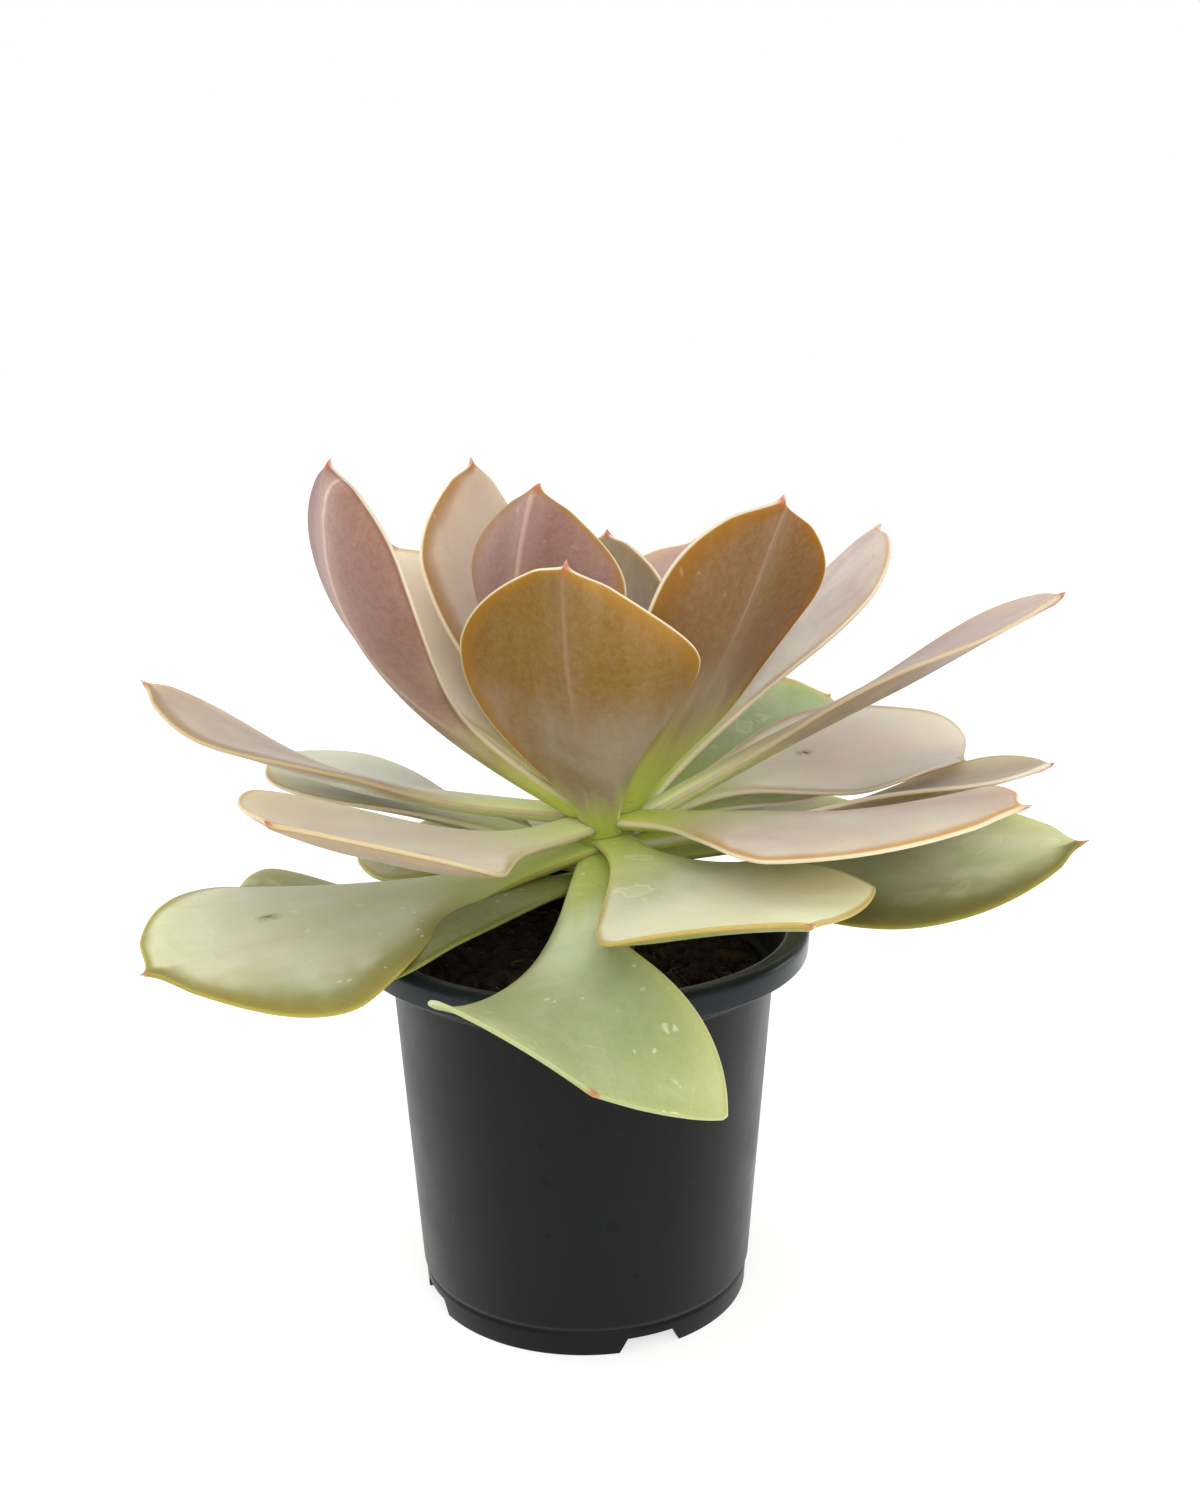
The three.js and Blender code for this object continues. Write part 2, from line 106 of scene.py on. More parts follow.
UPRIGHT = [
    row(228, (49, 116), 82, 46, 117.5, late=1.4, inset=2.5, roll=-2, twist=18, swing=-3, cup=(0.7, 0.8),
        widest=0.72, blunt=2),
    row(88, (48, 73), 69, 43, 116, roll=-12, twist=-12, cup=(0.9, 0.9)),
    row(128, (41, 76), 92, 52, 116, late=1.05, inset=3, roll=22, twist=-3, swing=-3, cup=(-0.15, -0.4),
        widest=0.7, flare=0.6, blunt=1.75),
    row(326, (57, 68), 85, 58, 115.5, late=1.1, roll=6, twist=-19, swing=10, cup=(-0.4, 0.45), widest=0.6,
        flare=0.6, blunt=2.75),
    row(209, (34, 107), 111, 57, 115, late=2.45, inset=3, roll=-10, twist=-1, swing=-8, cup=(0.85, -0.15),
        widest=0.78, flare=2.4, blunt=2.5),
    row(68, (39, 48), 82, 48, 114),
    row(260, (45, 68), 84, 54, 112, roll=-16, twist=-26, swing=4, cup=(1.3, -0.3), blunt=1.85),
    row(140, (36.5, 49.5), 86, 50, 113.5),
    row(35, (39, 33), 105, 54, 112.5, late=1.05, roll=-18, twist=1, swing=9, cup=(-0.55, 0), widest=0.67,
        flare=1.4, blunt=1.65),
    row(357, (30, 29), 110, 51, 113.5, late=1.1, inset=5, roll=-15, twist=9, swing=-11, cup=(0.2, 0),
        widest=0.75, flare=1.3, blunt=2.6),
]

SPREADING = [
    row(175, (4, 40), 108, 50, 115.5, late=1.8, inset=4.5, roll=19, twist=-15, swing=2, cup=(0, 0),
        widest=0.71, flare=0.9, blunt=2.1),
    row(27, (22, -3), 88, 53, 110.5, late=0.85, inset=3.5, roll=24, twist=-18, swing=-55, cup=(0.1, 0.35),
        widest=0.85, flare=1.6, blunt=2.25),
    row(319, (8, 17), 109, 67, 115, late=1.2, inset=2, roll=-10, twist=18, swing=-6, cup=(0, -0.25),
        widest=0.62, flare=1.25, blunt=1.2),
    row(224, (-10, 28), 101, 64, 115, late=0.65, inset=4, roll=-5, twist=-1, swing=19, cup=(0.2, 0.2),
        widest=0.7, flare=1.5, blunt=1.4),
    row(100, (10, 12), 92, 48, 108),
    row(50, (9, 14), 93, 54, 108, roll=20, cup=(0.5, 0.25)),
    row(149, (6, 11), 92, 43, 105, late=1.05, roll=5, twist=-11, swing=4, cup=(0.2, -0.25), widest=0.75,
        flare=1.4, blunt=2.85),
    row(2, (6, 18), 101, 46, 108.5, late=1.65, inset=3, roll=-22, twist=11, swing=-10, cup=(0.35, 0.1),
        widest=0.83, flare=2.55, blunt=2.2),
]

LOW = [
    row(291, (-3, 16), 95.5, 59, 110.5, late=1.2, inset=2, roll=16, twist=-14, swing=5, cup=(-0.2, 0.2),
        widest=0.73, blunt=1.2),
    row(78, (4, 4), 94, 50, 105),
    row(40, (-4, 1), 84, 50, 103.5),
    row(212, (6, -39), 67, 44, 100, late=1.65, inset=5, roll=5, twist=-2, swing=-6, cup=(0.05, 0),
        flare=0.6, blunt=3),
    row(198, (-15, 4), 110, 67, 108.5, late=0.95, inset=3, roll=-7, twist=-21, swing=36, cup=(0.2, -0.45),
        widest=0.66, flare=1.15, blunt=1.55),
    row(143, (0, -23), 73, 43, 102.5, late=1.8, roll=-9, twist=2, swing=9, cup=(0, 0.15), widest=0.62,
        flare=1.3, blunt=1.75),
    row(339, (-4, 17), 103, 60, 103.5, late=0.75, inset=6, roll=8, twist=3, swing=12, cup=(0.1, 0.1),
        widest=0.64, flare=1.45, blunt=1.7),
    row(260, (-10, -7), 97, 63, 106.5, late=2.1, inset=4.5, roll=22, twist=-57, swing=25, cup=(0.2, 0),
        widest=0.9, flare=2.2, blunt=1.2),
    row(179, (-11, 11), 82, 44, 100, late=1.35, inset=4.5, roll=9, twist=-17, swing=6, cup=(0.2, -0.3),
        widest=0.88, flare=1.85, blunt=3),
    row(106, (-3, -20), 92, 50, 100.5, late=2),
]

# Looks of a leaf. Over is its inner face and under its outer one, each with its colour towards the
# stalk, towards the tip and in the clouds between. Middle is the soft line along the keel, with its
# strength, ridge how far left of the middle the keel runs, and keel its height. Margin is the colour of
# a band inside the rim, band its width on the left and the right of the blade, and fade the share of
# that width left at the tip. Edge is the thin line on the rim, and stalk the green that reaches up the
# share lime of the blade. The fold shading is a stripe of painted shade along a fold of the inner face,
# a painted highlight where it is paler than the face: colour, strength, place left of the middle and
# half of its width. Bloom, marks, flecks and specks are the amounts of white powder, dried water marks,
# small white spots and small dark ones, and wave is the height of the waves in the rim. Scars are healed
# nicks: their places along and across the blade and their reach, in metres.

PLAIN_LOOK = dict(
    over=("#c8c4a4", "#d2c2b0", "#cfb3a4"), under=("#b2a878", "#b49678", "#b89888"),
    middle=("#c9a896", 0.4), ridge=0, keel=0.5, margin="#b4987c", band=(3, 3), fade=1.0, edge="#dccfb8",
    tip="#b05848", stalk="#c0cc58", lime=0.42, painted_fold_shading=(), bloom=0.3, marks=0.0, flecks=0.2, specks=0.3,
    wave=0.5, scars=(),
)

HEART_LOOK = dict(
    over=("#b4bc84", "#b0b088", "#b4a488"), under=("#b4b478", "#a8946c", "#b09880"), lime=0.7,
)
UPRIGHT_LOOK = dict(keel=0.9, bloom=0.12)
SPREADING_LOOK = dict(over=("#c8c8b0", "#c8bcb0", "#c4b0a8"), under=("#b8b488", "#a89880", "#ac9484"))
LOW_LOOK = dict(
    over=("#b0b88c", "#b4bc98", "#bcbca0"), under=("#94984c", "#888c4c", "#888444"),
    middle=("#9ca068", 0.3), margin="#949044", edge="#a4a868", tip="#a8704c", stalk="#b8c458", bloom=0.4,
    marks=0.35, flecks=0.6,
)

LOOKS = {
    4: dict(under=("#988068", "#90685c", "#84605c"), middle=("#c8aca4", 0.7), keel=1.4, margin="#94702c",
        band=(4, 8)),
    5: dict(over=("#a4a07c", "#988c70", "#9c887c")),
    6: dict(over=("#c8c0ac", "#b8a48c", "#b8a498"), margin="#8c6838", band=(7, 2)),
    7: dict(under=("#a8947c", "#84602c", "#886440"), middle=("#a88c78", 0.6), margin="#8c6018",
        band=(4, 10), bloom=0.05),
    8: dict(under=("#b8a490", "#886458", "#8c6860"), middle=("#ccb0a8", 0.7), ridge=7, keel=1.4,
        margin="#785450", band=(2, 16)),
    9: dict(over=("#b0a090", "#b0948c", "#b49890")),
    10: dict(under=("#a89888", "#8c6824", "#886834"), middle=("#a0846c", 0.6), margin="#9c7228",
        band=(6, 5), edge="#fcecc8", lime=0.25, bloom=0.05),
    11: dict(over=("#f0e8e0", "#e4dcd0", "#e0d4cc")),
    12: dict(over=("#ccc8b8", "#ac9890", "#b8a8a0"), under=("#98984c", "#988878", "#a08c80"), bloom=0.4),
    # Leaf 13's stalk, and leaf 14's stalk and the stalk end of its outer face, are their own lime green
    # painted much paler: painted light where the crown shades them.
    13: dict(over=("#c8c0a8", "#b8a49c", "#b8a098"), under=("#d4d4a4", "#a08c7c", "#a48c80"),
        edge="#c4b49c", stalk="#f0f4bc"),
    14: dict(over=("#c8c8ac", "#b8a898", "#a89484"), under=("#f0f0cc", "#988070", "#a08c74"),
        margin="#94805c", band=(9, 2), edge="#b8a488", stalk="#dce4a0"),
    15: dict(over=("#fcf8ec", "#e0d4c8", "#ece0dc"), under=("#b8b088", "#b09480", "#b09484"),
        tip="#c4ac98", specks=0.8, scars=((0.05, 0.002, 0.003),)),
    16: dict(over=("#bcb890", "#c0b4a4", "#bca49c"), margin="#b0843c", band=(2, 4),
        painted_fold_shading=("#b4948c", 0.7, 8.0, 7.0)),
    17: dict(over=("#d4d0b8", "#c8c09c", "#ccb8a8"), margin="#a08858", band=(3, 2), edge="#c4b498",
        stalk="#d0d490", painted_fold_shading=("#c4aca4", 0.5, -6.0, 8.0), scars=((0.062, 0.01, 0.003),)),
    19: dict(over=("#acc074", "#a0b484", "#acb890"), marks=0.5),
    20: dict(over=("#b8c4a8", "#bcc4b4", "#b8b8ac")),
    21: dict(over=("#b4b890", "#bcb49c", "#ac9c8c")),
    22: dict(over=("#b4b890", "#e0e4c0", "#e0dcbc"), margin="#a08038", band=(2, 2), edge="#ac9c5c",
        marks=0.7),
    # Leaf 25 lies in shade under leaf 26: its dark olive faces, margin, edge and stalk are painted shade.
    25: dict(over=("#787c44", "#6c7040", "#747044"), margin="#60642c", edge="#70743c", stalk="#78843c",
        bloom=0.1),
    # Leaf 26's wide olive band on its left margin is painted shade where that margin rolls down, and its
    # pale fold stripe is a painted highlight.
    26: dict(over=("#bcc8a0", "#c0ccac", "#c4bc9c"), margin="#7c7408", band=(20, 6), fade=0.75,
        edge="#948c48", painted_fold_shading=("#ccd0b8", 0.4, -8.0, 12.0), bloom=0.5, marks=0.2, flecks=1.0,
        scars=((0.075, -0.006, 0.004),)),
    27: dict(over=("#949868", "#949464", "#989468")),
    # Leaf 28's wide dark olive band on its right is painted shade on the half of the blade that curls
    # down.
    28: dict(over=("#a8b480", "#bcc494", "#b8bc94"), margin="#5c5800", band=(2, 24), fade=0.5,
        edge="#787430", marks=0.35),
    29: dict(over=("#ccd8b0", "#a0ac78", "#9ca878"), margin="#9ca46c", band=(2, 4), edge="#a0a884",
        bloom=0.15, marks=0.12, flecks=1.0),
    30: dict(over=("#989c6c", "#949864", "#98a070")),
}

# Colours that all leaves share

SKIN = dict(
    powder="#d8d8cc", dust="#e0dcc4", water_mark="#e6e8cc", fleck="#eceadc", speck="#6a5238",
    scar_rim="#7c8440", scar="#4c4420",
)

# Looks of the pot. Each dried splash on its wall has an azimuth, a height and a radius.

# The rim colour is painted reflection: the rim is the same plastic as the wall, painted paler and bluer
# where its gloss catches the light.
PLASTIC = dict(
    dark="#080b09", light="#0f1311", rim="#182024", splash="#040505", dust="#4c5051", scuff="#0c0d0e",
)
SPLASHES = (
    (278, 33, 1.45), (258, 44, 1.25), (257, 53, 0.95), (258, 31, 0.93), (250, 27, 0.6), (286, 20, 0.7),
    (317, 68, 0.73),
)

# Loose bits on the peat: their look (name, dark, light and grain), number, sizes, stretch and seed

CRUMBS = dict(
    peat_crumbs=(("peat_crumb", "#120b07", "#3a271a", 500), 900, (0.7, 2.4), (0.9, 1.6), 11),
    bark_bits=(("bark_bit", "#2c1a10", "#5c3d28", 600), 170, (0.7, 2.2), (1.6, 3.2), 12),
    pale_grains=(("pale_grain", "#8f877c", "#cfc8bb", 900), 140, (0.22, 0.55), (0.8, 1.2), 13),
)
FIBRES = dict(count=420, seed=21)

# Studio, in metres and watts. Each lamp has a place, a width and height, and a power. The surround is
# dimmer on the camera's side.

LAMPS = dict(
    top_softbox=((-0.1, -0.3, 1.2), (1.0, 0.8), 3),
    right_softbox=((1.2, 0.5, 0.45), (0.5, 0.9), 3),
    front_softbox=((0.1, -1.0, 0.7), (0.9, 0.6), 6),
    left_softbox=((-1.2, 0.5, 0.45), (0.6, 0.9), 7),
)
LAMP_TARGET = Vector((0, 0, 0.11))
SURROUND = dict(camera_side=0.62, far_side=0.72)
FLOOR = dict(reach=4.0, dark="#bcbcbb", light="#c0c0bf", glow=0.66)


def build_leaf_table():
    """Every leaf as one row, the youngest first, with its own looks."""
    groups = [
        (HEART, HEART_LOOK, "leaf_heart"),
        (UPRIGHT, UPRIGHT_LOOK, "leaf_upright"),
        (SPREADING, SPREADING_LOOK, "leaf_spreading"),
        (LOW, LOW_LOOK, "leaf_low"),
    ]
    rows = []
    for sizes, tier_look, slot in groups:
        for size in sizes:
            number = len(rows) + 1
            look = {**PLAIN_LOOK, **tier_look, **LOOKS.get(number, {})}
            rows.append({**ORDINARY, **size, **look, "number": number, "slot": slot})
    return rows


# Helpers


def smooth(x):
    x = np.clip(x, 0, 1)
    return x * x * (3 - 2 * x)


def blend(a, b, share):
    return a + (b - a) * share


def colour(code):
    """A web colour as the linear values that shaders take."""
    parts = [int(code[i:i + 2], 16) / 255 for i in (1, 3, 5)]
    linear = [p / 12.92 if p <= 0.04045 else ((p + 0.055) / 1.055) ** 2.4 for p in parts]
    return (*linear, 1.0)


def show(name, mesh):
    piece = bpy.data.objects.new(name, mesh)
    bpy.context.scene.collection.objects.link(piece)
    return piece


def finish_piece(piece, material, node=None):
    piece.data.transform(Matrix.Translation(POT_AXIS))
    piece.data.materials.clear()
    piece.data.materials.append(material)
    for polygon in piece.data.polygons:
        polygon.use_smooth = True
    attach(piece, "root")
    if node:
        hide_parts(node)


def mesh_of(name, points, faces):
    """A mesh from points in millimetres."""
    mesh = bpy.data.meshes.new(name)
    mesh.from_pydata([(x * MM, y * MM, z * MM) for x, y, z in points], [], faces)
    return mesh


def ring(radius, height, sides):
    """Points round the Z axis."""
    angles = [2 * math.pi * j / sides for j in range(sides)]
    return [(radius * math.cos(angle), radius * math.sin(angle), height) for angle in angles]


def ring_quads(first, rings, sides):
    """The faces between rings of points that follow each other from the first point on."""
    quads = []
    for low in range(first, first + (rings - 1) * sides, sides):
        for j in range(sides):
            k = (j + 1) % sides
            quads.append((low + j, low + k, low + sides + k, low + sides + j))
    return quads


def closed_rings(rings, sides):
    """The faces of a solid whose points are rings from 0 on, then its lower and its upper end."""
    last = (rings - 1) * sides
    ends = rings * sides
    faces = ring_quads(0, rings, sides)
    for j in range(sides):
        k = (j + 1) % sides
        faces += [(k, j, ends), (last + j, last + k, ends + 1)]
    return faces


def store(mesh, name, values, kind="FLOAT"):
    """Keeps one number, or one vector, at each vertex for the materials to read."""
    layer = mesh.attributes.new(name, kind, "POINT")
    layer.data.foreach_set("vector" if kind == "FLOAT_VECTOR" else "value", np.ravel(values))


class Nodes:
    """The node tree of a material or a world, built by short calls."""

    def __init__(self, owner):
        owner.use_nodes = True
        self.tree = owner.node_tree

    def node(self, kind, inputs=None, **settings):
        node = self.tree.nodes.new(kind)
        for key, value in settings.items():
            setattr(node, key, value)
        for key, value in (inputs or {}).items():
            self.feed(node.inputs[key], value)
        return node

    def feed(self, socket, value):
        """Gives a socket its value: another node's output, a web colour or plain numbers."""
        if isinstance(value, bpy.types.NodeSocket):
            self.tree.links.new(value, socket)
        else:
            socket.default_value = colour(value) if isinstance(value, str) else value

    def number(self, name):
        return self.node("ShaderNodeAttribute", attribute_name=name).outputs["Fac"]

    def vector(self, name):
        return self.node("ShaderNodeAttribute", attribute_name=name).outputs["Vector"]

    def place(self):
        return self.node("ShaderNodeTexCoord").outputs["Object"]

    def height_of(self, place):
        return self.node("ShaderNodeSeparateXYZ", {0: place}).outputs["Z"]

    def math(self, operation, a, b=0.0, clamp=False):
        return self.node("ShaderNodeMath", {0: a, 1: b}, operation=operation, use_clamp=clamp).outputs[0]

    def times(self, a, b):
        return self.math("MULTIPLY", a, b)

    def plus(self, a, b):
        return self.math("ADD", a, b)

    def minus(self, a, b):
        return self.math("SUBTRACT", a, b)

    def apart(self, a, b):
        return self.math("ABSOLUTE", self.minus(a, b))

    def vectors(self, operation, *inputs):
        return self.node("ShaderNodeVectorMath", dict(enumerate(inputs)), operation=operation)

    def scaled(self, vector, x, y, z):
        return self.vectors("MULTIPLY", vector, (x, y, z)).outputs[0]

    def step(self, value, low, high, start=0.0, end=1.0):
        """Goes smoothly from start at low to end at high."""
        inputs = {"Value": value, "From Min": low, "From Max": high, "To Min": start, "To Max": end}
        return self.node("ShaderNodeMapRange", inputs, interpolation_type="SMOOTHSTEP").outputs[0]

    def mix(self, share, a, b):
        return self.node("ShaderNodeMix", {0: share, 6: a, 7: b}, data_type="RGBA").outputs[2]

    def noise(self, vector, scale, detail=3.0, roughness=0.55, distortion=0.0):
        inputs = {
            "Vector": vector, "Scale": scale, "Detail": detail, "Roughness": roughness,
            "Distortion": distortion,
        }
        return self.node("ShaderNodeTexNoise", inputs).outputs["Fac"]

    def cells(self, vector, scale):
        return self.node("ShaderNodeTexVoronoi", {"Vector": vector, "Scale": scale}).outputs["Distance"]

    def shifted(self, vector, scale, reach):
        """The same place, pushed about by up to half of the reach."""
        push = self.node("ShaderNodeTexNoise", {"Vector": vector, "Scale": scale}).outputs["Color"]
        push = self.vectors("SUBTRACT", push, (0.5, 0.5, 0.5)).outputs[0]
        return self.vectors("ADD", vector, self.scaled(push, reach, reach, 0)).outputs[0]

    def bump(self, height, strength, distance):
        inputs = {"Height": height, "Strength": strength, "Distance": distance}
        return self.node("ShaderNodeBump", inputs).outputs[0]


class Shader(Nodes):
    """A new material and its node tree."""

    def __init__(self, name):
        self.material = bpy.data.materials.new(name)
        super().__init__(self.material)

    def set(self, **values):
        for key, value in values.items():
            self.feed(self.tree.nodes["Principled BSDF"].inputs[key.replace("_", " ")], value)


# Leaf shape, by the frame's own formulas, with a rounded rim, a keel and soft waves added


def outline(s, leaf):
    """Half of the width, as a share of the greatest, from the stalk to the point at the tip."""
    up = np.clip((s - LEAF["stalk_end"]) / (leaf["widest"] - LEAF["stalk_end"]), 0, 1)
    rise = (0.5 - 0.5 * np.cos(math.pi * up)) ** leaf["flare"]
    down = np.clip((s - leaf["widest"]) / (1 - leaf["widest"]), 0, 1)
    nip = 1 + 0.7 * smooth((down - 0.8) / 0.2)
    fall = np.maximum(0, 1 - down ** leaf["blunt"]) ** nip
    return np.where(s < leaf["widest"], blend(LEAF["stalk_share"], 1, rise), fall)


def thickness_at(s):
    body = blend(LEAF["thickness"], LEAF["thickness"] * 0.72, smooth(s))
    return blend(body, LEAF["tip_thickness"], smooth((s - 0.6) / 0.4))


def slope_and_turn(s, leaf):
    start, end = leaf["rise"]
    slope = np.radians(start + (end - start) * s ** leaf["late"])
    turn = np.radians(leaf["azimuth"] + leaf["swing"] * s * s)
    return slope, turn


def heading(s, leaf):
    slope, turn = slope_and_turn(s, leaf)
    return np.stack([np.cos(slope) * np.cos(turn), np.cos(slope) * np.sin(turn), np.sin(slope)], -1)


def midline(s, leaf):
    marks = np.linspace(0, 1, MIDLINE_STEPS + 1)
    middles = (marks[:-1] + marks[1:]) / 2
    steps = heading(middles, leaf) * leaf["length"] / MIDLINE_STEPS
    azimuth = math.radians(leaf["azimuth"])
    base = np.array([
        STEM["x"] + leaf["inset"] * math.cos(azimuth),
        leaf["inset"] * math.sin(azimuth),
        leaf["foot"],
    ])
    points = base + np.vstack([np.zeros(3), np.cumsum(steps, 0)])
    return np.stack([np.interp(s, marks, points[:, axis]) for axis in range(3)], -1)


def blade_axes(s, leaf):
    """Out to the blade's left margin, and up out of its inner face."""
    turn = slope_and_turn(s, leaf)[1]
    level = np.stack([-np.sin(turn), np.cos(turn), np.zeros_like(turn)], -1)
    upright = np.cross(heading(s, leaf), level)
    tilt = math.radians(leaf["roll"]) * smooth(s / 0.5)
    tilt = (tilt + math.radians(leaf["twist"]) * smooth((s - 0.4) / 0.6))[:, None]
    left = level * np.cos(tilt) + upright * np.sin(tilt)
    up = upright * np.cos(tilt) - level * np.sin(tilt)
    return left, up


def across_shares(half):
    """Places across the blade from -1 to 1, with the last fifth of them packed into the rounded rim."""
    t = np.linspace(-1, 1, AROUND)[None, :]
    rim_share = np.minimum(3 * BLADE["rim_round"] / np.maximum(half, 1e-6), 0.3)[:, None]
    inner = np.abs(t) / 0.8 * (1 - rim_share)
    outer = 1 - rim_share * ((1 - np.abs(t)) / 0.2) ** 2
    return np.sign(t) * np.where(np.abs(t) < 0.8, inner, outer)


def blade_face(s, leaf, half, shares, upper):
    """The points of one face of the blade, in millimetres, and their distance from its margin."""
    left, up = blade_axes(s, leaf)
    size = np.abs(shares)
    side = np.sign(shares)
    curl = np.where(shares > 0, leaf["cup"][0], leaf["cup"][1]) * smooth(s / 0.35)[:, None]
    bend = np.where(np.abs(curl) < LEAST_CURL, LEAST_CURL, curl)
    angle = bend * size
    half = half[:, None]
    sideways = half / bend * np.sin(angle)
    lift = half / bend * (1 - np.cos(angle))

    margin = half * (1 - size)
    rim_round = BLADE["rim_round"]
    rim = rim_round * np.sqrt(1 - (1 - np.minimum(margin / rim_round, 1)) ** 2)
    taper = np.sqrt(np.clip((1 - s) / BLADE["point_share"], 0, 1))[:, None]
    body = np.maximum(thickness_at(s)[:, None] - 2 * rim_round, 0)
    distal = smooth((s - 0.25) / 0.5)[:, None]
    if upper:
        offset = LEAF["upper_share"] * body * (1 - size ** 3) + rim
        offset -= BLADE["groove"] * distal * np.exp(-((size * half / BLADE["groove_reach"]) ** 2))
    else:
        away = np.abs(shares * half - leaf["ridge"] * smooth(s / 0.6)[:, None])
        ridge = leaf["keel"] * distal * np.exp(-away / BLADE["keel_reach"]) * (1 - size ** 2)
        offset = -(1 - LEAF["upper_share"]) * body * (1 - size ** 2) - rim - ridge
    offset = offset * taper

    phase = leaf["number"] * 1.7 + side * 2.1
    wave = leaf["wave"] * distal * size ** 2 * np.sin(s[:, None] * 11 + phase) * taper
    points = midline(s, leaf)[:, None, :]
    points = points + left[:, None, :] * (side * (sideways - offset * np.sin(angle)))[..., None]
    points = points + up[:, None, :] * (lift + offset * np.cos(angle) + wave)[..., None]
    return points, margin


def leaf_mesh(leaf):
    s = 1 - (1 - np.linspace(0, 1, STATIONS, endpoint=False)) ** 1.5
    half = leaf["width"] / 2 * outline(s, leaf)
    shares = across_shares(half)
    over, over_margin = blade_face(s, leaf, half, shares, True)
    under, under_margin = blade_face(s, leaf, half, shares, False)
    inner = slice(AROUND - 2, 0, -1)
    rings = np.concatenate([over, under[:, inner]], 1)
    ends = midline(np.array([0.0, 1.0]), leaf)
    points = np.concatenate([rings.reshape(-1, 3), ends])
    # The rings run the other way round, so each face is turned over and keeps its first point.
    faces = [(face[0], *face[:0:-1]) for face in closed_rings(STATIONS, rings.shape[1])]
    mesh = mesh_of(f"blade_{leaf['number']:02d}", points.tolist(), faces)

    def per_vertex(over_values, under_values, root_value, tip_value):
        grid = np.concatenate([over_values, under_values[:, inner]], 1)
        return np.concatenate([grid.ravel(), [root_value, tip_value]])

    along = np.repeat(s[:, None], AROUND, 1)
    across = shares * half[:, None]
    ones = np.ones_like(along)
    ones[:, [0, -1]] = 0.5
    length = leaf["length"] * MM
    store(mesh, "along", per_vertex(along, along, 0, 1))
    store(mesh, "across", per_vertex(across, across, 0, 0))
    store(mesh, "margin", per_vertex(over_margin, under_margin, 0, 0))
    store(mesh, "face", per_vertex(ones, np.zeros_like(along), 0.5, 0.5))
    # The blade laid flat in metres, each leaf and each face at a level of its own.
    flat = np.stack([
        per_vertex(along * length, along * length, 0, length),
        per_vertex(across * MM, across * MM, 0, 0),
        per_vertex(ones, -ones, 0, 0) * 0.05 + leaf["number"],
    ], -1)
    store(mesh, "blade", flat, "FLOAT_VECTOR")
    return mesh


# Leaf material


